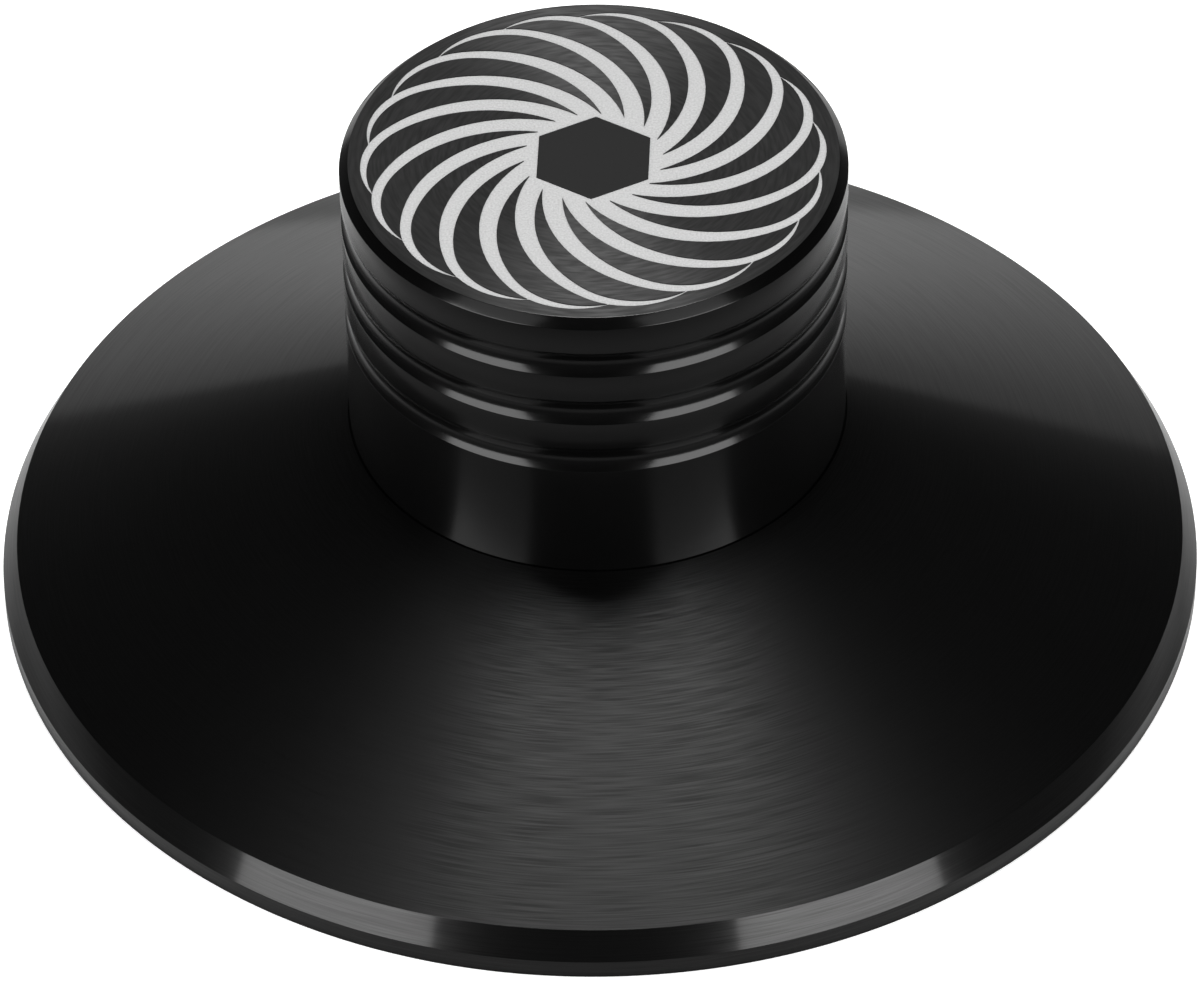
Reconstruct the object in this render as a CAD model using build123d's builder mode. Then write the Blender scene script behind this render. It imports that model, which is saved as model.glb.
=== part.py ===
from build123d import *

import os
from math import cos, radians, sin, sqrt, tan

# A record weight, turned in one piece from aluminium bar and anodised: a wide conical foot, a grip
# knob with round grooves, a swirl engraved in the knob's top face, and a blind hole in the base for
# the turntable's spindle. Millimetres, +Z up, origin at the middle of the base.

# Foot
FOOT_DIAMETER = 78.0
RIM_HEIGHT = 1.35
BEVEL_WIDTH = 1.0
BEVEL_RISE = 1.8
CONE_RISE = 10.0
BASE_EDGE_BREAK = 0.1

# Knob
KNOB_DIAMETER = 32.0
KNOB_RISE = 20.45
KNOB_CHAMFER = 0.55

# Grip grooves, round in section, counted down from the top face
GROOVE_COUNT = 3
GROOVE_DROP = 2.5
GROOVE_WIDTH = 1.9
GROOVE_DEPTH = 0.3
GROOVE_PITCH = 3.9

# Spindle hole and the relief that leaves only an outer ring of the base in contact
SPINDLE_DIAMETER = 7.2
SPINDLE_CLEARANCE = 0.1
HOLE_DEPTH = 20.0
HOLE_LEAD_IN = 0.8
DRILL_POINT_ANGLE = 118.0
RELIEF_DIAMETER = 60.0
RELIEF_DEPTH = 0.8

# Engraved swirl: vanes that leave a hub ring round a plain hexagon and curl over at the outer end.
# Vane angles are in degrees, from the outermost point of the vane's back edge.
ENGRAVING_DEPTH = 0.06
PLAIN_BORDER = 0.8
HEXAGON_ACROSS_FLATS = 7.0
HUB_LAND = 0.26
VANE_COUNT = 18
SWIRL_TURN = 6.1
CURL_RADIUS = 5.25
CURL_THICKNESS = 0.34
BACK_CURL = 46.0
BACK_SWEEP = 84.4
FRONT_LEAD = 3.9
FRONT_CURL = 60.0
FRONT_SWEEP = 62.7

# Levels and radii that follow from the sizes above
foot_radius = FOOT_DIAMETER / 2
bevel_top = RIM_HEIGHT + BEVEL_RISE
cone_top = bevel_top + CONE_RISE
knob_radius = KNOB_DIAMETER / 2
knob_top = cone_top + KNOB_RISE
face_radius = knob_radius - KNOB_CHAMFER

groove_arc_radius = (GROOVE_WIDTH ** 2 / 4 + GROOVE_DEPTH ** 2) / (2 * GROOVE_DEPTH)
groove_centre_radius = knob_radius - GROOVE_DEPTH + groove_arc_radius
groove_middle_level = knob_top - GROOVE_DROP - GROOVE_WIDTH / 2 - GROOVE_PITCH * (GROOVE_COUNT - 1) / 2

hole_radius = SPINDLE_DIAMETER / 2 + SPINDLE_CLEARANCE
hole_end = RELIEF_DEPTH + HOLE_DEPTH
drill_point = hole_radius / tan(radians(DRILL_POINT_ANGLE / 2))
relief_radius = RELIEF_DIAMETER / 2

swirl_radius = face_radius - PLAIN_BORDER
hexagon_corner_radius = HEXAGON_ACROSS_FLATS / 2 / cos(radians(30))
hub_radius = hexagon_corner_radius + HUB_LAND


def polar(radius, angle):
    """Gives the point at a distance from the axis and an angle in degrees."""
    return Vector(radius * cos(radians(angle)), radius * sin(radians(angle)))


# One vane. Each edge is a long arc from the hub that runs on, tangent, into a curl of one radius
# for both edges. The two curls cross at the vane's point, which lies inside the next vane.
back_centre = polar(swirl_radius - CURL_RADIUS, 0)
front_centre = polar(swirl_radius - CURL_THICKNESS - CURL_RADIUS, FRONT_LEAD)
between = front_centre - back_centre
towards_point = Vector(between.Y, -between.X).normalized()
point_distance = sqrt(CURL_RADIUS ** 2 - (between.length / 2) ** 2)
vane_point = (back_centre + front_centre) / 2 + towards_point * point_distance
back_start = back_centre + polar(CURL_RADIUS, -BACK_CURL)
front_start = front_centre + polar(CURL_RADIUS, FRONT_LEAD - FRONT_CURL)
back_root = polar(hexagon_corner_radius, -BACK_SWEEP)
front_root = polar(hexagon_corner_radius, -FRONT_SWEEP)

with BuildSketch() as vane:
    with BuildLine():
        back_curl = RadiusArc(back_start, vane_point, -CURL_RADIUS)
        TangentArc(back_start, back_root, tangent=-(back_curl % 0))
        front_curl = RadiusArc(front_start, vane_point, -CURL_RADIUS)
        TangentArc(front_start, front_root, tangent=-(front_curl % 0))
        Line(back_root, front_root)
    make_face()

os.makedirs("parts", exist_ok=True)

with BuildPart() as weight_body:
    # Half section of the turned blank, from the drill point down the hole and round the outside
    with BuildSketch(Plane.XZ):
        with BuildLine():
            Polyline(
                (0, hole_end + drill_point),
                (hole_radius, hole_end),
                (hole_radius, RELIEF_DEPTH + HOLE_LEAD_IN),
                (hole_radius + HOLE_LEAD_IN, RELIEF_DEPTH),
                (relief_radius, RELIEF_DEPTH),
                (relief_radius, 0),
                (foot_radius - BASE_EDGE_BREAK, 0),
                (foot_radius, BASE_EDGE_BREAK),
                (foot_radius, RIM_HEIGHT),
                (foot_radius - BEVEL_WIDTH, bevel_top),
                (knob_radius, cone_top),
                (knob_radius, knob_top - KNOB_CHAMFER),
                (face_radius, knob_top),
                (0, knob_top),
                close=True,
            )
        make_face()
    revolve(axis=Axis.Z)

    # Grip grooves
    with BuildSketch(Plane.XZ):
        with Locations((groove_centre_radius, groove_middle_level)):
            with GridLocations(0, GROOVE_PITCH, 1, GROOVE_COUNT):
                Circle(groove_arc_radius)
    revolve(axis=Axis.Z, mode=Mode.SUBTRACT)

    # Swirl, engraved in the top face, with the hexagon left standing and its corners along Y
    with BuildSketch(Plane.XY.offset(knob_top)):
        Circle(hub_radius)
        with PolarLocations(0, VANE_COUNT, start_angle=SWIRL_TURN):
            add(vane.sketch)
        RegularPolygon(HEXAGON_ACROSS_FLATS / 2, 6, major_radius=False, rotation=30, mode=Mode.SUBTRACT)
    extrude(amount=-ENGRAVING_DEPTH, mode=Mode.SUBTRACT)

weight_body.part.label = "weight_body"
export_step(weight_body.part, "parts/weight_body.step")
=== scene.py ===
"""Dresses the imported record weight: its turned body, the bare metal of its swirl, and a plain studio.

Sizes in the classes are millimetres. They become metres where a mesh is drawn.
"""

import logging
from collections.abc import Callable
from dataclasses import dataclass
from enum import Enum
from math import cos, pi, radians, sin, sqrt, tan

import bpy
from mathutils import Matrix, Quaternion, Vector


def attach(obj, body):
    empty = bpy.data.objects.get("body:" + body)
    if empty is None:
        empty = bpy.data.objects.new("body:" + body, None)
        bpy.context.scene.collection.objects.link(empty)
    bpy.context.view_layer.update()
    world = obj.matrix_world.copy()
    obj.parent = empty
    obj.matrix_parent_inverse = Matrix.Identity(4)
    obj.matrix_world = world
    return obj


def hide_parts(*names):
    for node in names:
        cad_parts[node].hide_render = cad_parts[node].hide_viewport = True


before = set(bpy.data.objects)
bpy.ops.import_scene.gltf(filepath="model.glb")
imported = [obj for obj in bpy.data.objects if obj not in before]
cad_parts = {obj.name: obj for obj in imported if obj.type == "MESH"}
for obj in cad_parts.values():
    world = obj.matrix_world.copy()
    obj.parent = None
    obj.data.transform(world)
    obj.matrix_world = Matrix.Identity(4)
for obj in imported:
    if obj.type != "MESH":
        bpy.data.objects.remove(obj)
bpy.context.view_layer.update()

LOG = logging.getLogger("record_weight")
MM = 0.001
MERGE_DISTANCE = 1e-6
FACING_UP = 0.9
LEVEL_TOLERANCE = 0.01
LEAST_AHEAD = 0.001
NODE_SPACING = 180
LINE_CONTRAST = (0.32, 0.68)
QUARTER_TURN = 0.25


class Edge(Enum):
    """The two long edges of a vane of the swirl."""

    BACK = "back"
    FRONT = "front"


class Region(Enum):
    """Parts of the body that are finished differently, in the order of their material slots."""

    FOOT = 0
    KNOB = 1
    FACE = 2
    HEXAGON = 3
    UNDERSIDE = 4


def polar(radius: float, degrees: float, level: float = 0.0) -> Vector:
    """Gives a place by its distance from the axis, its angle and its height."""
    return Vector((radius * cos(radians(degrees)), radius * sin(radians(degrees)), level))


def half_section(radius: float, level: float) -> Vector:
    """Gives a place in the half section, which lies over the X axis."""
    return Vector((radius, 0.0, level))


class Pen:
    """Draws a chain of vertices in edit mode: one point, then lines and arcs from the chain's end."""

    def __init__(self, name: str, start: Vector) -> None:
        """Adds an object whose mesh is the first vertex, and opens it in edit mode.

        Args:
            name: Name of the object and its mesh.
            start: Place of the first vertex.
        """
        bpy.ops.object.select_all(action="DESELECT")
        bpy.ops.mesh.primitive_plane_add(size=MM)
        self.piece = bpy.context.object
        self.piece.name = name
        self.piece.data.name = name
        self.end = start
        bpy.ops.object.mode_set(mode="EDIT")
        bpy.ops.mesh.select_all(action="SELECT")
        bpy.ops.mesh.merge(type="CENTER")
        bpy.ops.mesh.select_all(action="SELECT")
        bpy.ops.transform.translate(value=start * MM)

    def line(self, to: Vector) -> None:
        """Extrudes the end vertex to a place."""
        bpy.ops.mesh.extrude_vertices_move(TRANSFORM_OT_translate={"value": (to - self.end) * MM})
        self.end = to

    def arc(self, to: Vector, centre: Vector, steps: int) -> None:
        """Spins the end vertex about a centre, the shorter way round.

        Args:
            to: Place where the arc ends.
            centre: Centre of the arc.
            steps: Number of straight runs in the arc.
        """
        arm = self.end - centre
        goal = to - centre
        axis = arm.cross(goal).normalized()
        bpy.ops.mesh.spin(steps=steps, angle=-arm.angle(goal), center=centre * MM, axis=axis)
        self.end = to

    def corner(self, at: Vector, onward: Vector, radius: float, steps: int) -> None:
        """Draws a line towards a corner and rounds the corner off.

        Args:
            at: Place of the sharp corner.
            onward: The place that the chain goes to next.
            radius: Radius of the round.
            steps: Number of straight runs in the round.
        """
        back = (self.end - at).normalized()
        ahead = (onward - at).normalized()
        half_angle = back.angle(ahead) / 2
        reach = radius / tan(half_angle)
        centre = at + (back + ahead).normalized() * (radius / sin(half_angle))
        self.line(at + back * reach)
        self.arc(at + ahead * reach, centre, steps)

    def repeat_round_axis(self, count: int) -> None:
        """Copies what is drawn so that it stands evenly round the Z axis.

        Args:
            count: How many there are in all.
        """
        bpy.ops.mesh.select_all(action="SELECT")
        turn = 2 * pi * (count - 1) / count
        bpy.ops.mesh.spin(steps=count - 1, angle=-turn, dupli=True, center=(0, 0, 0), axis=(0, 0, 1))
        self.merge()

    def merge(self) -> None:
        """Joins vertices that fall on each other."""
        bpy.ops.mesh.select_all(action="SELECT")
        bpy.ops.mesh.remove_doubles(threshold=MERGE_DISTANCE)

    def fill_and_raise(self, height: float) -> None:
        """Fills the closed chain and extrudes the face upwards.

        Args:
            height: How far the face goes up.
        """
        bpy.ops.mesh.select_all(action="SELECT")
        bpy.ops.mesh.edge_face_add()
        bpy.ops.mesh.extrude_region_move(TRANSFORM_OT_translate={"value": (0, 0, height * MM)})

    def close(self) -> bpy.types.Object:
        """Turns the faces outwards and leaves edit mode.

        Returns:
            The object that was drawn.
        """
        bpy.ops.mesh.select_all(action="SELECT")
        bpy.ops.mesh.normals_make_consistent(inside=False)
        bpy.ops.object.mode_set(mode="OBJECT")
        return self.piece


def make_active(piece: bpy.types.Object) -> None:
    """Selects one object alone and makes it the active one.

    Args:
        piece: The object.
    """
    bpy.ops.object.select_all(action="DESELECT")
    piece.select_set(True)
    bpy.context.view_layer.objects.active = piece


def select_where(piece: bpy.types.Object, wanted: Callable[[Vector], bool]) -> None:
    """Opens a piece in edit mode with only some of its vertices selected.

    Args:
        piece: The piece.
        wanted: Tells from a vertex's place whether it is selected.
    """
    make_active(piece)
    bpy.ops.object.mode_set(mode="EDIT")
    bpy.ops.mesh.select_mode(type="VERT")
    bpy.ops.mesh.select_all(action="DESELECT")
    bpy.ops.object.mode_set(mode="OBJECT")
    for vertex in piece.data.vertices:
        vertex.select = wanted(vertex.co)
    bpy.ops.object.mode_set(mode="EDIT")


def cut_away(piece: bpy.types.Object, cutter: bpy.types.Object) -> None:
    """Takes the cutter's volume out of a piece.

    Args:
        piece: The piece that is cut.
        cutter: The solid that is taken out of it.
    """
    make_active(piece)
    cut = piece.modifiers.new("cut", "BOOLEAN")
    cut.operation = "DIFFERENCE"
    cut.solver = "EXACT"
    cut.object = cutter
    bpy.ops.object.modifier_apply(modifier=cut.name)


def discard(piece: bpy.types.Object) -> None:
    """Removes an object that was only a tool, with its mesh.

    Args:
        piece: The object.
    """
    mesh = piece.data
    bpy.data.objects.remove(piece)
    bpy.data.meshes.remove(mesh)


@dataclass(frozen=True)
class Circle:
    """A circle that an arc of the swirl lies on."""

    centre: Vector
    radius: float

    def turned(self, degrees: float) -> "Circle":
        """Gives the circle turned about the axis."""
        return Circle(Matrix.Rotation(radians(degrees), 3, "Z") @ self.centre, self.radius)

    def crossing(self, other: "Circle", near: Vector) -> Vector:
        """Finds where two circles cross.

        Args:
            other: The second circle.
            near: A place that tells the wanted crossing from the other one.

        Returns:
            The crossing that lies nearer to that place.
        """
        between = other.centre - self.centre
        along = (between.length_squared + self.radius ** 2 - other.radius ** 2) / (2 * between.length)
        middle = self.centre + between.normalized() * along
        aside = Vector((-between.y, between.x, 0)).normalized() * sqrt(self.radius ** 2 - along ** 2)
        return min(middle + aside, middle - aside, key=lambda place: (place - near).length)


@dataclass(frozen=True)
class VaneEdge:
    """One edge of a vane: a long arc from the hub that runs on, tangent, into a curl."""

    curl: Circle
    sweep: Circle
    joint: Vector
    root: Vector

    def turned(self, degrees: float) -> "VaneEdge":
        """Gives the edge turned about the axis.

        Args:
            degrees: Angle of the turn.

        Returns:
            The turned edge.
        """
        turn = Matrix.Rotation(radians(degrees), 3, "Z")
        return VaneEdge(
            curl=self.curl.turned(degrees),
            sweep=self.sweep.turned(degrees),
            joint=turn @ self.joint,
            root=turn @ self.root,
        )


@dataclass
class EngravedSwirl:
    """The swirl in the knob's top face: a pocket for the body and the bare metal at its bottom."""

    face_level: float = 33.6
    depth: float = 0.06
    skin: float = 0.02
    overcut: float = 0.2
    radius: float = 14.65
    hexagon_across_flats: float = 7.0
    vane_count: int = 18
    turn: float = 6.1
    curl_radius: float = 5.25
    curl_thickness: float = 0.34
    back_curl: float = 46.0
    back_sweep: float = 84.4
    front_lead: float = 3.9
    front_curl: float = 60.0
    front_sweep: float = 62.7
    curl_steps: int = 20
    sweep_steps: int = 18

    @property
    def pocket_level(self) -> float:
        """Height of the pocket's bottom, under the bare metal."""
        return self.face_level - self.depth - self.skin

    @property
    def vane_pitch(self) -> float:
        """Angle from one vane to the next."""
        return 360.0 / self.vane_count

    @property
    def hexagon_corner(self) -> float:
        """Distance of the hexagon's corners from the axis."""
        return self.hexagon_across_flats / 2 / cos(radians(30))

    def edge(self, side: Edge) -> VaneEdge:
        """Works out one edge of the first vane.

        Args:
            side: Which edge.

        Returns:
            The edge, at the height of the pocket's bottom.
        """
        if side is Edge.BACK:
            outer, lead, curl_angle, sweep_angle = self.radius, 0.0, self.back_curl, self.back_sweep
        else:
            outer, lead = self.radius - self.curl_thickness, self.front_lead
            curl_angle, sweep_angle = self.front_curl, self.front_sweep
        level = self.pocket_level
        curl = Circle(polar(outer - self.curl_radius, lead, level), self.curl_radius)
        joint = curl.centre + polar(self.curl_radius, lead - curl_angle)
        root = polar(self.hexagon_corner, -sweep_angle, level)
        inward = (curl.centre - joint).normalized()
        chord = root - joint
        sweep_radius = chord.length_squared / (2 * chord.dot(inward))
        sweep = Circle(joint + inward * sweep_radius, sweep_radius)
        return VaneEdge(curl, sweep, joint, root).turned(self.turn)

    def draw_outline(self) -> bpy.types.Object:
        """Draws the scalloped disc that the vanes' back edges bound.

        Returns:
            The disc, from the pocket's bottom to above the top face.
        """
        curl = self.edge(Edge.BACK).curl
        before = polar(self.radius, self.turn - self.vane_pitch / 2, self.pocket_level)
        after = polar(self.radius, self.turn + self.vane_pitch / 2, self.pocket_level)
        pen = Pen("swirl_outline", curl.crossing(curl.turned(-self.vane_pitch), before))
        pen.arc(curl.crossing(curl.turned(self.vane_pitch), after), curl.centre, self.curl_steps // 2)
        pen.repeat_round_axis(self.vane_count)
        pen.fill_and_raise(self.depth + self.skin + self.overcut)
        return pen.close()

    def draw_petals(self) -> bpy.types.Object:
        """Draws the dark petals that stand between the vanes, from one that is copied round.

        Returns:
            The petals, as closed bars that reach past the outline below and above.
        """
        front = self.edge(Edge.FRONT)
        back = self.edge(Edge.BACK).turned(self.vane_pitch)
        inner_tip = front.sweep.crossing(back.sweep, front.root)
        outward = polar(self.radius, self.turn + self.vane_pitch / 2, self.pocket_level)
        outer_tip = front.curl.crossing(back.curl, outward)
        pen = Pen("swirl_petals", inner_tip)
        pen.arc(front.joint, front.sweep.centre, self.sweep_steps)
        pen.arc(outer_tip, front.curl.centre, self.curl_steps)
        pen.arc(back.joint, back.curl.centre, self.curl_steps)
        pen.arc(inner_tip, back.sweep.centre, self.sweep_steps)
        pen.merge()
        bpy.ops.transform.translate(value=(0, 0, -self.overcut * MM))
        pen.fill_and_raise(self.depth + self.skin + 3 * self.overcut)
        pen.repeat_round_axis(self.vane_count)
        return pen.close()

    def draw_hexagon(self) -> bpy.types.Object:
        """Draws the plain hexagon in the middle, with its corners along Y.

        Returns:
            The hexagon, as a bar that reaches past the outline below and above.
        """
        pen = Pen("swirl_hexagon", polar(self.hexagon_corner, 90, self.pocket_level - self.overcut))
        for corner in range(1, 7):
            pen.line(polar(self.hexagon_corner, 90 + 60 * corner, self.pocket_level - self.overcut))
        pen.merge()
        pen.fill_and_raise(self.depth + self.skin + 3 * self.overcut)
        return pen.close()

    def build_cutter(self) -> bpy.types.Object:
        """Makes the solid that cuts the pocket in the body's top face.

        Returns:
            The cutter, which is the outline without its petals and its hexagon.
        """
        cutter = self.draw_outline()
        for island in (self.draw_petals(), self.draw_hexagon()):
            cut_away(cutter, island)
            discard(island)
        return cutter

    def build(self, cutter: bpy.types.Object) -> bpy.types.Object:
        """Makes the layer of bare metal from a copy of the cutter, lowered to the engraving's bottom.

        Args:
            cutter: The solid that cuts the pocket.

        Returns:
            The bare metal piece.
        """
        make_active(cutter)
        bpy.ops.object.duplicate()
        piece = bpy.context.object
        piece.name = "engraved_swirl"
        piece.data.name = "engraved_swirl"
        middle = (self.pocket_level + self.overcut / 2) * MM
        select_where(piece, lambda place: place.z > middle)
        bpy.ops.transform.translate(value=(0, 0, -(self.depth + self.overcut) * MM))
        bpy.ops.object.mode_set(mode="OBJECT")
        return piece

    def dress(self, piece: bpy.types.Object, finish: "BareMetal") -> None:
        """Gives the bare metal its finish and joins it to the frame.

        Args:
            piece: The bare metal piece.
            finish: Its finish.
        """
        piece.data.materials.clear()
        piece.data.materials.append(finish.material())
        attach(piece, "root")


@dataclass
class TurnedBody:
    """The weight itself, turned about Z from one bar: foot, grooved knob, spindle hole and relief."""

    foot_radius: float = 39.0
    rim_height: float = 1.35
    bevel_width: float = 1.0
    bevel_rise: float = 1.8
    cone_rise: float = 10.0
    base_edge_break: float = 0.1
    knob_radius: float = 16.0
    knob_rise: float = 20.45
    knob_chamfer: float = 0.55
    groove_count: int = 3
    groove_drop: float = 2.5
    groove_width: float = 1.9
    groove_depth: float = 0.3
    groove_pitch: float = 3.9
    hole_radius: float = 3.7
    hole_depth: float = 20.0
    hole_lead_in: float = 0.8
    drill_point_angle: float = 118.0
    relief_radius: float = 30.0
    relief_depth: float = 0.8
    hexagon_reach: float = 4.1
    edge_round: float = 0.08
    foot_notch: float = 0.1
    notch_undercut: float = 0.05
    notch_rise: float = 0.05
    groove_steps: int = 16
    round_steps: int = 4
    turn_steps: int = 480
    smooth_angle: float = 28.0

    @property
    def bevel_top(self) -> float:
        """Height of the cone's outer edge."""
        return self.rim_height + self.bevel_rise

    @property
    def cone_top(self) -> float:
        """Height of the knob's foot."""
        return self.bevel_top + self.cone_rise

    @property
    def knob_top(self) -> float:
        """Height of the top face."""
        return self.cone_top + self.knob_rise

    def groove_levels(self) -> list[float]:
        """Gives the heights of the grooves' middles, from the lowest up."""
        highest = self.knob_top - self.groove_drop - self.groove_width / 2
        return [highest - self.groove_pitch * step for step in reversed(range(self.groove_count))]

    def draw_groove(self, pen: Pen, level: float) -> None:
        """Draws one groove of the half section, upwards, with its two edges rounded.

        Args:
            pen: The pen, on the knob's wall below the groove.
            level: Height of the groove's middle.
        """
        arc_radius = (self.groove_width ** 2 / 4 + self.groove_depth ** 2) / (2 * self.groove_depth)
        arc_centre = half_section(self.knob_radius - self.groove_depth + arc_radius, level)
        edge_depth = self.knob_radius - self.edge_round
        edge_rise = sqrt((arc_radius + self.edge_round) ** 2 - (arc_centre.x - edge_depth) ** 2)
        share = arc_radius / (arc_radius + self.edge_round)
        lower = half_section(edge_depth, level - edge_rise)
        upper = half_section(edge_depth, level + edge_rise)
        pen.line(half_section(self.knob_radius, lower.z))
        pen.arc(arc_centre.lerp(lower, share), lower, self.round_steps)
        pen.arc(arc_centre.lerp(upper, share), arc_centre, self.groove_steps)
        pen.arc(half_section(self.knob_radius, upper.z), upper, self.round_steps)

    def draw_section(self) -> Pen:
        """Draws the half section, from the drill point down the hole and round to the top face.

        Returns:
            The pen, with its end on the top face a little inside the edge.
        """
        hole_end = self.relief_depth + self.hole_depth
        drill_point = self.hole_radius / tan(radians(self.drill_point_angle / 2))
        base_edge = half_section(self.foot_radius, self.base_edge_break)
        rim_edge = half_section(self.foot_radius, self.rim_height)
        cone_edge = half_section(self.foot_radius - self.bevel_width, self.bevel_top)
        knob_foot = half_section(self.knob_radius, self.cone_top)
        chamfer_edge = half_section(self.knob_radius, self.knob_top - self.knob_chamfer)
        face_edge = half_section(self.knob_radius - self.knob_chamfer, self.knob_top)
        face_end = half_section(self.knob_radius - 2 * self.knob_chamfer, self.knob_top)

        pen = Pen("turned_body", half_section(0, hole_end + drill_point))
        pen.line(half_section(self.hole_radius, hole_end))
        pen.line(half_section(self.hole_radius, self.relief_depth + self.hole_lead_in))
        pen.line(half_section(self.hole_radius + self.hole_lead_in, self.relief_depth))
        pen.line(half_section(self.relief_radius, self.relief_depth))
        pen.line(half_section(self.relief_radius, 0))
        pen.line(half_section(self.foot_radius - self.base_edge_break, 0))
        pen.line(base_edge)
        pen.corner(rim_edge, cone_edge, self.edge_round, self.round_steps)
        pen.corner(cone_edge, knob_foot, self.edge_round, self.round_steps)
        towards_rim = (cone_edge - knob_foot).normalized()
        pen.line(knob_foot + towards_rim * self.foot_notch)
        pen.line(knob_foot + half_section(-self.notch_undercut, -self.foot_notch))
        pen.line(knob_foot + half_section(0, self.notch_rise))
        for level in self.groove_levels():
            self.draw_groove(pen, level)
        pen.corner(chamfer_edge, face_edge, self.edge_round, self.round_steps)
        pen.corner(face_edge, face_end, self.edge_round, self.round_steps)
        pen.line(face_end)
        return pen

    def build(self, swirl_cutter: bpy.types.Object) -> bpy.types.Object:
        """Turns the section round the axis, closes the top face and engraves it.

        Args:
            swirl_cutter: The solid that cuts the swirl's pocket.

        Returns:
            The body piece.
        """
        pen = self.draw_section()
        bpy.ops.mesh.select_all(action="SELECT")
        bpy.ops.mesh.spin(steps=self.turn_steps, angle=2 * pi, center=(0, 0, 0), axis=(0, 0, 1))
        pen.merge()
        bpy.ops.mesh.select_all(action="DESELECT")
        bpy.ops.mesh.select_non_manifold()
        bpy.ops.mesh.edge_face_add()
        piece = pen.close()
        cut_away(piece, swirl_cutter)
        return piece

    def region_of(self, face: bpy.types.MeshPolygon) -> Region:
        """Tells which region of the body a face belongs to.

        Args:
            face: The face.

        Returns:
            Its region.
        """
        reach = Vector((face.center.x, face.center.y)).length / MM
        height = face.center.z / MM
        if height > self.knob_top - self.knob_chamfer / 2 and face.normal.z > FACING_UP:
            return Region.HEXAGON if reach < self.hexagon_reach else Region.FACE
        in_relief = reach < self.relief_radius and height < self.relief_depth + LEVEL_TOLERANCE
        in_hole = reach < self.hole_radius + self.hole_lead_in
        if in_relief or in_hole:
            return Region.UNDERSIDE
        return Region.KNOB if height > self.cone_top - self.foot_notch else Region.FOOT

    def dress(self, piece: bpy.types.Object, finishes: dict[Region, "BlackAnodised"]) -> None:
        """Gives the body its finishes and joins it to the frame.

        Args:
            piece: The body piece.
            finishes: The finish of each region.
        """
        piece.data.materials.clear()
        for region in Region:
            piece.data.materials.append(finishes[region].material())
        for face in piece.data.polygons:
            face.material_index = self.region_of(face).value
        make_active(piece)
        bpy.ops.object.shade_smooth_by_angle(angle=radians(self.smooth_angle))
        weighted = piece.modifiers.new("weighted", "WEIGHTED_NORMAL")
        weighted.keep_sharp = True
        bpy.ops.object.modifier_apply(modifier=weighted.name)
        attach(piece, "root")
        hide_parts("weight_body")


class NodeSheet:
    """Places and links the nodes of one material, group or world."""

    def __init__(self, tree: bpy.types.NodeTree) -> None:
        """Keeps the node tree to draw in."""
        self.tree = tree
        self.column = 0

    def add(self, kind: str, **settings: object) -> bpy.types.Node:
        """Adds a node.

        Args:
            kind: Node type, without its ShaderNode prefix.
            **settings: Properties of the node to set.

        Returns:
            The node.
        """
        node = self.tree.nodes.new(kind if kind.startswith("Node") else "ShaderNode" + kind)
        node.location = (NODE_SPACING * self.column, 0)
        self.column += 1
        for name, value in settings.items():
            setattr(node, name, value)
        return node

    def feed(self, node: bpy.types.Node, **inputs: object) -> bpy.types.Node:
        """Sets or links inputs of a node by name, with _ for spaces, or by i and a number.

        Args:
            node: The node.
            **inputs: A value to set, or a socket to link from.

        Returns:
            The same node.
        """
        for name, value in inputs.items():
            key = int(name[1:]) if name[0] == "i" and name[1:].isdigit() else name.replace("_", " ")
            if isinstance(value, bpy.types.NodeSocket):
                self.tree.links.new(value, node.inputs[key])
            else:
                node.inputs[key].default_value = value
        return node

    def math(self, operation: str, *values: object) -> bpy.types.NodeSocket:
        """Adds a Math node.

        Args:
            operation: What it does.
            *values: Numbers, or sockets to link from.

        Returns:
            The result.
        """
        node = self.add("Math", operation=operation)
        self.feed(node, **{f"i{index}": value for index, value in enumerate(values)})
        return node.outputs[0]

    def vector_math(self, operation: str, vector: bpy.types.NodeSocket) -> bpy.types.Node:
        """Adds a Vector Math node that works on one vector."""
        return self.feed(self.add("VectorMath", operation=operation), i0=vector)

    def noise(
        self, place: bpy.types.NodeSocket, scale: float, detail: float, roughness: float = 0.5
    ) -> bpy.types.NodeSocket:
        """Adds a noise, which runs from 0 to 1.

        Args:
            place: Where in the noise each point of the surface lies.
            scale: Number of its cells in a unit of length.
            detail: Number of finer layers on top of the first.
            roughness: Strength of each finer layer.

        Returns:
            The noise.
        """
        node = self.add("TexNoise")
        self.feed(node, Vector=place, Scale=scale, Detail=detail, Roughness=roughness)
        return node.outputs["Fac"]

    def ramp(
        self,
        value: bpy.types.NodeSocket,
        to: tuple[float, float],
        over: tuple[float, float] = (0.0, 1.0),
        smooth: bool = False,
    ) -> bpy.types.NodeSocket:
        """Carries a value from one range to another.

        Args:
            value: The value.
            to: What it becomes at the two ends of its range.
            over: The range that it runs over.
            smooth: Whether it eases in and out at the ends.

        Returns:
            The new value.
        """
        node = self.add("MapRange", interpolation_type="SMOOTHSTEP" if smooth else "LINEAR")
        self.feed(node, Value=value, From_Min=over[0], From_Max=over[1], To_Min=to[0], To_Max=to[1])
        return node.outputs["Result"]

    def grey(self, shade: bpy.types.NodeSocket) -> bpy.types.NodeSocket:
        """Makes a grey from a brightness."""
        return self.feed(self.add("CombineColor"), Red=shade, Green=shade, Blue=shade).outputs[0]


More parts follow.
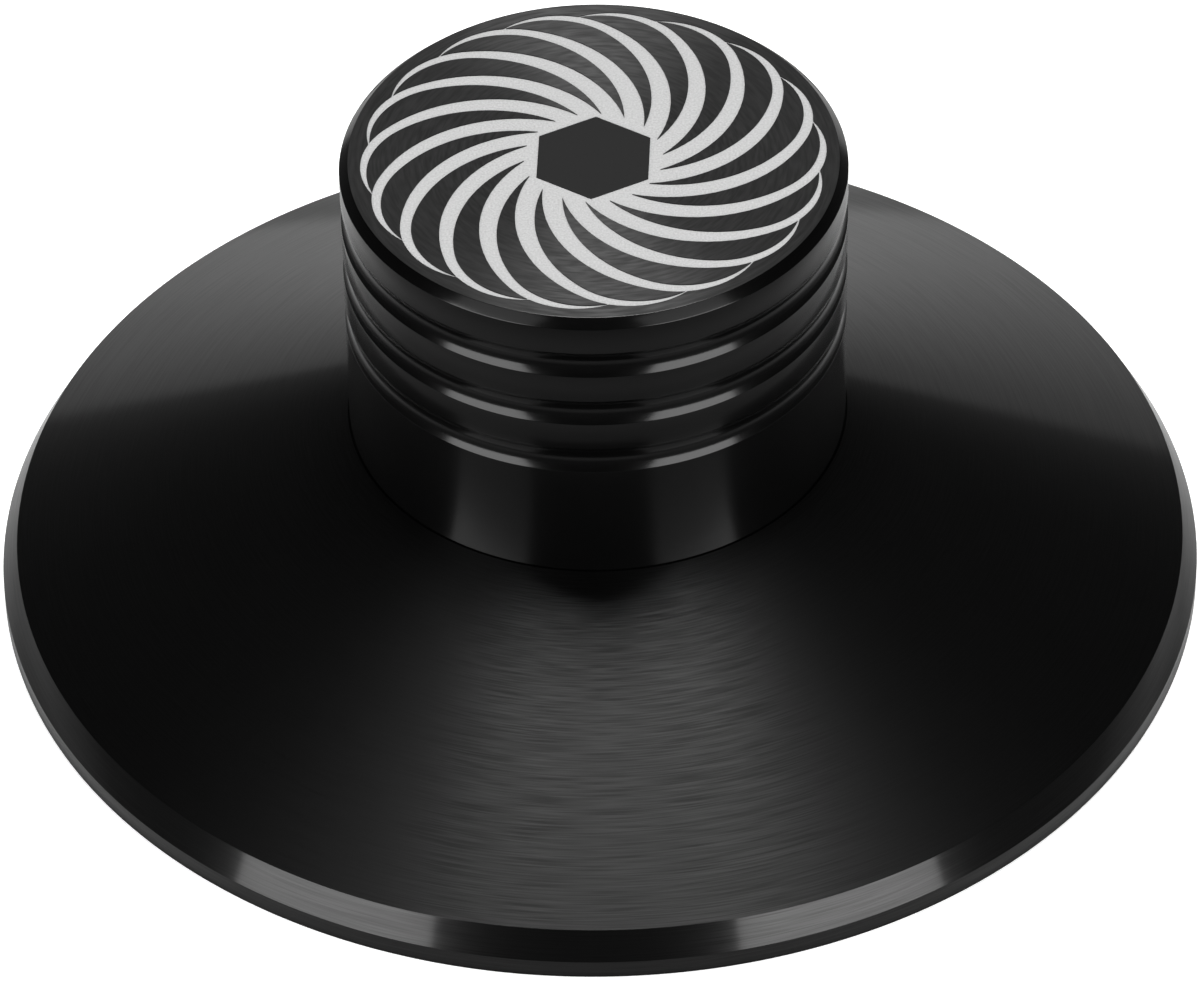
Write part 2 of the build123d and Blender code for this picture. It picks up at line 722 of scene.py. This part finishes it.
def turning_lines_group() -> bpy.types.NodeTree:
    """Makes, once, the group that draws the fine lines a lathe leaves round the axis.

    Returns:
        A group with inputs for the lines' pitch and their number of dashes in a turn, and the output
        Lines, from 0 to 1.
    """
    name = "turning lines"
    if name in bpy.data.node_groups:
        return bpy.data.node_groups[name]
    group = bpy.data.node_groups.new(name, "ShaderNodeTree")
    group.interface.new_socket(name="Pitch", in_out="INPUT", socket_type="NodeSocketFloat")
    group.interface.new_socket(name="Dashes", in_out="INPUT", socket_type="NodeSocketFloat")
    group.interface.new_socket(name="Lines", in_out="OUTPUT", socket_type="NodeSocketFloat")
    sheet = NodeSheet(group)
    given = sheet.add("NodeGroupInput")
    place = sheet.add("TexCoord").outputs["Object"]
    axes = sheet.feed(sheet.add("SeparateXYZ"), Vector=place)
    flat = sheet.feed(sheet.add("CombineXYZ"), X=axes.outputs["X"], Y=axes.outputs["Y"])
    reach = sheet.vector_math("LENGTH", flat.outputs[0]).outputs["Value"]
    along = sheet.math("SUBTRACT", reach, axes.outputs["Z"])
    line = sheet.math("DIVIDE", along, given.outputs["Pitch"])
    heading = sheet.vector_math("NORMALIZE", flat.outputs[0]).outputs[0]
    around = sheet.feed(sheet.vector_math("SCALE", heading), Scale=given.outputs["Dashes"])
    parts = sheet.feed(sheet.add("SeparateXYZ"), Vector=around.outputs[0])
    where = sheet.feed(sheet.add("CombineXYZ"), X=line, Y=parts.outputs["X"], Z=parts.outputs["Y"])
    noise = sheet.noise(where.outputs[0], scale=1.0, detail=1.0, roughness=0.6)
    lines = sheet.ramp(noise, to=(0.0, 1.0), over=LINE_CONTRAST)
    sheet.feed(sheet.add("NodeGroupOutput"), Lines=lines)
    return group


@dataclass(frozen=True)
class Finish:
    """A finish. Each kind of finish draws its own shader."""

    name: str

    def shader(self, sheet: NodeSheet, place: bpy.types.NodeSocket) -> bpy.types.Node:
        """Draws the finish's shader on a sheet, from places in the object."""
        raise NotImplementedError

    def material(self) -> bpy.types.Material:
        """Makes the material.

        Returns:
            The material, with the finish's shader as its surface.
        """
        material = bpy.data.materials.new(self.name)
        material.use_nodes = True
        material.node_tree.nodes.clear()
        sheet = NodeSheet(material.node_tree)
        shader = self.shader(sheet, sheet.add("TexCoord").outputs["Object"])
        sheet.feed(sheet.add("OutputMaterial"), Surface=shader.outputs[0])
        return material


@dataclass(frozen=True)
class BlackAnodised(Finish):
    """Black anodised metal: a satin base, grained by turning lines round the axis, under a thin gloss."""

    darkest: float = 0.0006
    lightest: float = 0.0012
    cloud_scale: float = 160.0
    ior: float = 1.246
    roughness: float = 0.33
    roughness_change: float = 0.05
    anisotropy: float = 0.75
    gloss: float = 1.0
    gloss_ior: float = 1.275
    gloss_roughness: float = 0.14
    line_pitch: float = 0.24
    dashes: float = 14.0
    line_depth: float = 0.0005
    line_dimming: float = 0.0

    def shader(self, sheet: NodeSheet, place: bpy.types.NodeSocket) -> bpy.types.Node:
        """Draws the anodised metal's shader.

        Args:
            sheet: The material's sheet.
            place: Places in the object.

        Returns:
            The shader.
        """
        lines_node = sheet.add("Group", node_tree=turning_lines_group())
        sheet.feed(lines_node, Pitch=self.line_pitch * MM, Dashes=self.dashes)
        lines = lines_node.outputs["Lines"]
        cloud = sheet.noise(place, scale=self.cloud_scale, detail=3.0)
        smoothest = self.roughness - self.roughness_change
        roughest = self.roughness + self.roughness_change
        bump = sheet.feed(sheet.add("Bump"), Height=lines, Distance=self.line_depth * MM, Strength=1.0)
        round_axis = sheet.add("Tangent", direction_type="RADIAL", axis="Z")
        return sheet.feed(
            sheet.add("BsdfPrincipled"),
            Base_Color=sheet.grey(sheet.ramp(cloud, to=(self.darkest, self.lightest))),
            Roughness=sheet.ramp(lines, to=(smoothest, roughest)),
            Metallic=sheet.ramp(lines, to=(0.0, self.line_dimming)) if self.line_dimming else 0.0,
            IOR=self.ior,
            Anisotropic=self.anisotropy,
            Anisotropic_Rotation=QUARTER_TURN,
            Normal=bump.outputs["Normal"],
            Tangent=round_axis.outputs[0],
            Coat_Weight=self.gloss,
            Coat_IOR=self.gloss_ior,
            Coat_Roughness=self.gloss_roughness,
        )


@dataclass(frozen=True)
class BareMetal(Finish):
    """Pale, matt aluminium laid open by the engraving tool."""

    dull: float = 0.265
    bright: float = 0.54
    roughness: float = 0.5
    roughness_change: float = 0.1
    metallic: float = 0.3
    grain_size: float = 0.13

    def shader(self, sheet: NodeSheet, place: bpy.types.NodeSocket) -> bpy.types.Node:
        """Draws the bare metal's shader.

        Args:
            sheet: The material's sheet.
            place: Places in the object.

        Returns:
            The shader.
        """
        grain = sheet.noise(place, scale=1 / (self.grain_size * MM), detail=2.0)
        smoothest = self.roughness - self.roughness_change
        roughest = self.roughness + self.roughness_change
        return sheet.feed(
            sheet.add("BsdfPrincipled"),
            Base_Color=sheet.grey(sheet.ramp(grain, to=(self.dull, self.bright))),
            Roughness=sheet.ramp(grain, to=(roughest, smoothest)),
            Metallic=self.metallic,
        )


@dataclass(frozen=True)
class PaleCard(Finish):
    """Matt white card for the floor. The weight reflects it as smaller, darker and graded, through painted
    shade and a painted shadow ring in the colour that reflections see. To the camera it shows a painted glow
    that keeps it evenly white.
    """

    pale: float = 0.75
    fibre_change: float = 0.02
    fibre_scale: float = 900.0
    roughness: float = 0.9
    # lift: a painted glow; the card emits light that only the camera sees, so it looks white and its shadows
    # fade
    lift: float = 0.6
    # front, back, front_end and back_end: painted shade, so that in reflections the card is darker in front
    # of the weight than behind it
    front: float = 0.32
    back: float = 0.66
    front_end: float = -10.0
    back_end: float = 30.0
    # fade, near_radius and far_radius: painted shade that darkens the card outwards in reflections
    fade: float = 0.2
    near_radius: float = 45.0
    far_radius: float = 75.0
    # shadow, shadow_radius and shadow_width: a painted shadow, a dark ring on the card round the weight's
    # rim, seen only in reflections
    shadow: float = 0.45
    shadow_radius: float = 44.0
    shadow_width: float = 4.6

    def reflected(self, sheet: NodeSheet, place: bpy.types.NodeSocket) -> bpy.types.NodeSocket:
        """Works out how bright the card is in reflections: painted shade in its colour, seen only in
        reflections.

        Args:
            sheet: The material's sheet.
            place: Places in the object.

        Returns:
            The brightness, as painted shade: darker in front than behind and fading outwards, with a painted
                shadow, a dark ring round the rim.
        """
        depth = sheet.feed(sheet.add("SeparateXYZ"), Vector=place).outputs["Y"]
        reach = sheet.vector_math("LENGTH", place).outputs["Value"]
        from_ring = sheet.math("ABSOLUTE", sheet.math("SUBTRACT", reach, self.shadow_radius * MM))
        # painted shade from front to back and outwards, and a painted shadow ring round the rim
        bright = sheet.ramp(depth, to=(self.front, self.back), over=(self.front_end * MM, self.back_end * MM))
        fading = sheet.ramp(reach, to=(1.0, self.fade), over=(self.near_radius * MM, self.far_radius * MM))
        shadow = sheet.ramp(from_ring, to=(self.shadow, 1.0), over=(0.0, self.shadow_width * MM))
        return sheet.math("MULTIPLY", sheet.math("MULTIPLY", bright, fading), shadow)

    def shader(self, sheet: NodeSheet, place: bpy.types.NodeSocket) -> bpy.types.Node:
        """Draws the card's shader: pale to the camera with a painted glow, and painted shade in reflections.

        Args:
            sheet: The material's sheet.
            place: Places in the object.

        Returns:
            The shader.
        """
        fibre = sheet.noise(place, scale=self.fibre_scale, detail=3.0)
        seen = sheet.ramp(fibre, to=(self.pale - self.fibre_change, self.pale + self.fibre_change))
        # the camera sees the pale card with its painted glow, and reflections see the painted shade
        direct = sheet.add("LightPath").outputs["Is Camera Ray"]
        shade = sheet.feed(sheet.add("Mix"), Factor=direct, A=self.reflected(sheet, place), B=seen)
        return sheet.feed(
            sheet.add("BsdfPrincipled"),
            Base_Color=sheet.grey(shade.outputs["Result"]),
            Roughness=self.roughness,
            Specular_IOR_Level=0.0,
            Emission_Color=(1, 1, 1, 1),
            Emission_Strength=sheet.math("MULTIPLY", direct, self.lift),
        )


@dataclass(frozen=True)
class StudioLight:
    """A soft light that faces the weight, placed by the direction it is seen in from the weight.

    Its width, height and distance are metres.
    """

    name: str
    azimuth: float
    elevation: float
    width: float
    height: float
    radiance: float
    spin: float = 0.0
    distance: float = 1.3

    def hang(self, camera_azimuth: float) -> bpy.types.Object:
        """Adds the light.

        Args:
            camera_azimuth: Where the camera stands; the light's own azimuth counts to the right of it.

        Returns:
            The light object.
        """
        turn = radians(camera_azimuth + self.azimuth)
        tilt = radians(self.elevation)
        towards = Vector((sin(turn) * cos(tilt), -cos(turn) * cos(tilt), sin(tilt)))
        bpy.ops.object.light_add(type="AREA", location=towards * self.distance)
        light = bpy.context.object
        light.name = self.name
        facing = (-towards).to_track_quat("-Z", "Y") @ Quaternion((0, 0, 1), radians(self.spin))
        light.rotation_euler = facing.to_euler()
        light.data.shape = "RECTANGLE"
        light.data.size = self.width
        light.data.size_y = self.height
        light.data.energy = self.radiance * pi * self.width * self.height
        light.visible_camera = False
        return light


@dataclass
class Studio:
    """The camera, the lights, the floor and what the weight reflects beyond them."""

    camera_azimuth: float = 2.8
    camera_elevation: float = 42.3
    camera_distance: float = 514.1
    camera_roll: float = 0.93
    camera_lift: float = 4.136
    lens: float = 235.24
    sensor_width: float = 36.0
    nearest_seen: float = 10.0
    floor_radius: float = 160.0
    floor_sides: int = 128
    floor_forward: float = 70.0
    floor_gap: float = 0.02
    backdrop_low: float = 0.79
    backdrop_high: float = 0.45
    backdrop_top: float = 0.2538
    backdrop_edge: float = 16.4
    backdrop_edge_softness: float = 2.4
    backdrop_tilt: float = 0.054
    backdrop_side: float = 36.5
    backdrop_side_softness: float = 6.5
    shoulder_slope: float = 0.8
    shoulder_middle: float = 0.48
    shoulder_lowest: float = -0.04
    horizon: float = 0.08
    ceiling: float = 0.02
    ceiling_start: float = 30.0

    def place_camera(self) -> bpy.types.Object:
        """Adds the camera where the photograph was taken from.

        Returns:
            The camera object.
        """
        turn = radians(self.camera_azimuth)
        tilt = radians(self.camera_elevation)
        stand = Vector((sin(turn) * cos(tilt), -cos(turn) * cos(tilt), sin(tilt))) * self.camera_distance
        roll = Quaternion((0, 0, 1), -radians(self.camera_roll))
        level = (-stand).to_track_quat("-Z", "Y") @ roll
        aim = level @ Vector((0, self.camera_lift, 0))
        bpy.ops.object.camera_add(location=stand * MM)
        camera = bpy.context.object
        camera.rotation_euler = ((aim - stand).to_track_quat("-Z", "Y") @ roll).to_euler()
        camera.data.sensor_fit = "HORIZONTAL"
        camera.data.sensor_width = self.sensor_width
        camera.data.lens = self.lens
        camera.data.clip_start = self.nearest_seen * MM
        bpy.context.scene.camera = camera
        return camera

    def lights(self) -> list[StudioLight]:
        """Lists the lights.

        Returns:
            Two soft boxes in front with a dim panel over each, one light overhead, and a dim one behind.
        """
        return [
            StudioLight("front_left", azimuth=-46, elevation=15.5, width=0.80, height=1.05, radiance=6.4),
            StudioLight("front_left_top", azimuth=-47.5, elevation=46, width=0.64, height=0.38, radiance=1.4),
            StudioLight("front_right", azimuth=39.6, elevation=15.5, width=0.82, height=1.05, radiance=6.7),
            StudioLight("front_right_top", azimuth=43, elevation=46, width=0.67, height=0.38, radiance=1.4),
            StudioLight(
                "overhead", azimuth=174, elevation=77.3, width=0.53, height=0.39, radiance=26.2, spin=6
            ),
            StudioLight("behind", azimuth=180, elevation=44, width=0.9, height=0.5, radiance=0.7),
        ]

    def lay_floor(self, finish: PaleCard) -> bpy.types.Object:
        """Adds the floor, a wide disc just under the weight.

        Args:
            finish: The floor's finish.

        Returns:
            The floor object.
        """
        bpy.ops.object.select_all(action="DESELECT")
        bpy.ops.mesh.primitive_circle_add(
            vertices=self.floor_sides,
            radius=self.floor_radius * MM,
            fill_type="NGON",
            location=(0, -self.floor_forward * MM, -self.floor_gap * MM),
        )
        bpy.ops.object.transform_apply(location=True)
        floor = bpy.context.object
        floor.name = "floor"
        floor.data.materials.append(finish.material())
        return floor

    def draw_backdrop(self, sheet: NodeSheet, axes: bpy.types.Node) -> bpy.types.NodeSocket:
        """Draws the backdrop low behind the weight, with a soft edge that falls away at both shoulders.

        Args:
            sheet: The world's sheet.
            axes: The direction looked in, split into X, Y and Z.

        Returns:
            Its brightness, 0 off the backdrop.
        """
        height = axes.outputs["Z"]
        aside = sheet.math("ABSOLUTE", axes.outputs["X"])
        tilted = sheet.math("MULTIPLY_ADD", axes.outputs["X"], -self.backdrop_tilt, height)
        shoulder_level = -self.shoulder_slope * self.shoulder_middle
        shoulder = sheet.math("MULTIPLY_ADD", aside, self.shoulder_slope, shoulder_level)
        lifted = sheet.math("ADD", tilted, sheet.math("MAXIMUM", shoulder, self.shoulder_lowest))
        top = sin(radians(self.backdrop_edge))
        softened_top = sin(radians(self.backdrop_edge - self.backdrop_edge_softness))
        low = sheet.ramp(lifted, to=(0.0, 1.0), over=(top, softened_top), smooth=True)
        ahead = sheet.math("MAXIMUM", axes.outputs["Y"], LEAST_AHEAD)
        side = tan(radians(self.backdrop_side))
        softened_side = tan(radians(self.backdrop_side - self.backdrop_side_softness))
        sideways = sheet.math("DIVIDE", aside, ahead)
        behind = sheet.ramp(sideways, to=(0.0, 1.0), over=(side, softened_side), smooth=True)
        fall = sheet.ramp(height, to=(self.backdrop_low, self.backdrop_high), over=(0.0, self.backdrop_top))
        return sheet.math("MULTIPLY", sheet.math("MULTIPLY", low, behind), fall)

    def surround(self) -> None:
        """Makes the world: white to the camera, and for the weight a low backdrop in a dim room."""
        world = bpy.data.worlds.new("studio")
        world.use_nodes = True
        world.node_tree.nodes.clear()
        bpy.context.scene.world = world
        sheet = NodeSheet(world.node_tree)
        axes = sheet.feed(sheet.add("SeparateXYZ"), Vector=sheet.add("TexCoord").outputs["Generated"])
        ceiling_level = sin(radians(self.ceiling_start))
        room = sheet.ramp(axes.outputs["Z"], to=(self.horizon, self.ceiling), over=(0.0, ceiling_level))
        reflected = sheet.math("MAXIMUM", self.draw_backdrop(sheet, axes), room)
        direct = sheet.add("LightPath").outputs["Is Camera Ray"]
        strength = sheet.math("MAXIMUM", reflected, direct)
        background = sheet.feed(sheet.add("Background"), Color=(1, 1, 1, 1), Strength=strength)
        sheet.feed(sheet.add("OutputWorld"), Surface=background.outputs[0])

    def build(self) -> None:
        """Sets up the whole studio."""
        bpy.context.scene.view_settings.view_transform = "Standard"
        self.place_camera()
        for light in self.lights():
            light.hang(self.camera_azimuth)
        self.lay_floor(PaleCard("pale_card"))
        self.surround()


def report(piece: bpy.types.Object) -> None:
    """Logs a finished piece's name and its number of triangles."""
    piece.data.calc_loop_triangles()
    LOG.info("%s: %d triangles", piece.name, len(piece.data.loop_triangles))


def body_finishes() -> dict[Region, BlackAnodised]:
    """Lists the body's finishes.

    Returns:
        The finish of each region: finely turned on the foot, glossy on the knob, coarsely faced on top.
    """
    return {
        Region.FOOT: BlackAnodised(
            "anodised_foot",
            ior=1.278,
            gloss_roughness=0.09,
            line_pitch=0.115,
            dashes=7,
            line_dimming=0.45,
        ),
        Region.KNOB: BlackAnodised("anodised_knob", ior=1.1, gloss_ior=1.33),
        Region.FACE: BlackAnodised(
            "anodised_face",
            ior=1.4,
            roughness=0.47,
            anisotropy=0.89,
            dashes=7,
            line_depth=0.004,
            line_dimming=0.45,
        ),
        Region.HEXAGON: BlackAnodised(
            "anodised_hexagon", ior=1.18, roughness=0.5, anisotropy=0.0, line_depth=0.0
        ),
        Region.UNDERSIDE: BlackAnodised(
            "anodised_underside", roughness=0.45, line_pitch=0.3, line_dimming=0.4
        ),
    }


def main() -> None:
    """Builds the studio, then the weight's pieces in order, and reports each piece."""
    logging.basicConfig(level=logging.INFO, format="%(name)s %(message)s")
    Studio().build()
    swirl = EngravedSwirl()
    cutter = swirl.build_cutter()
    body = TurnedBody()
    body_piece = body.build(cutter)
    body.dress(body_piece, body_finishes())
    report(body_piece)
    swirl_piece = swirl.build(cutter)
    discard(cutter)
    swirl.dress(swirl_piece, BareMetal("bare_swirl"))
    report(swirl_piece)


if __name__ == "__main__":
    main()
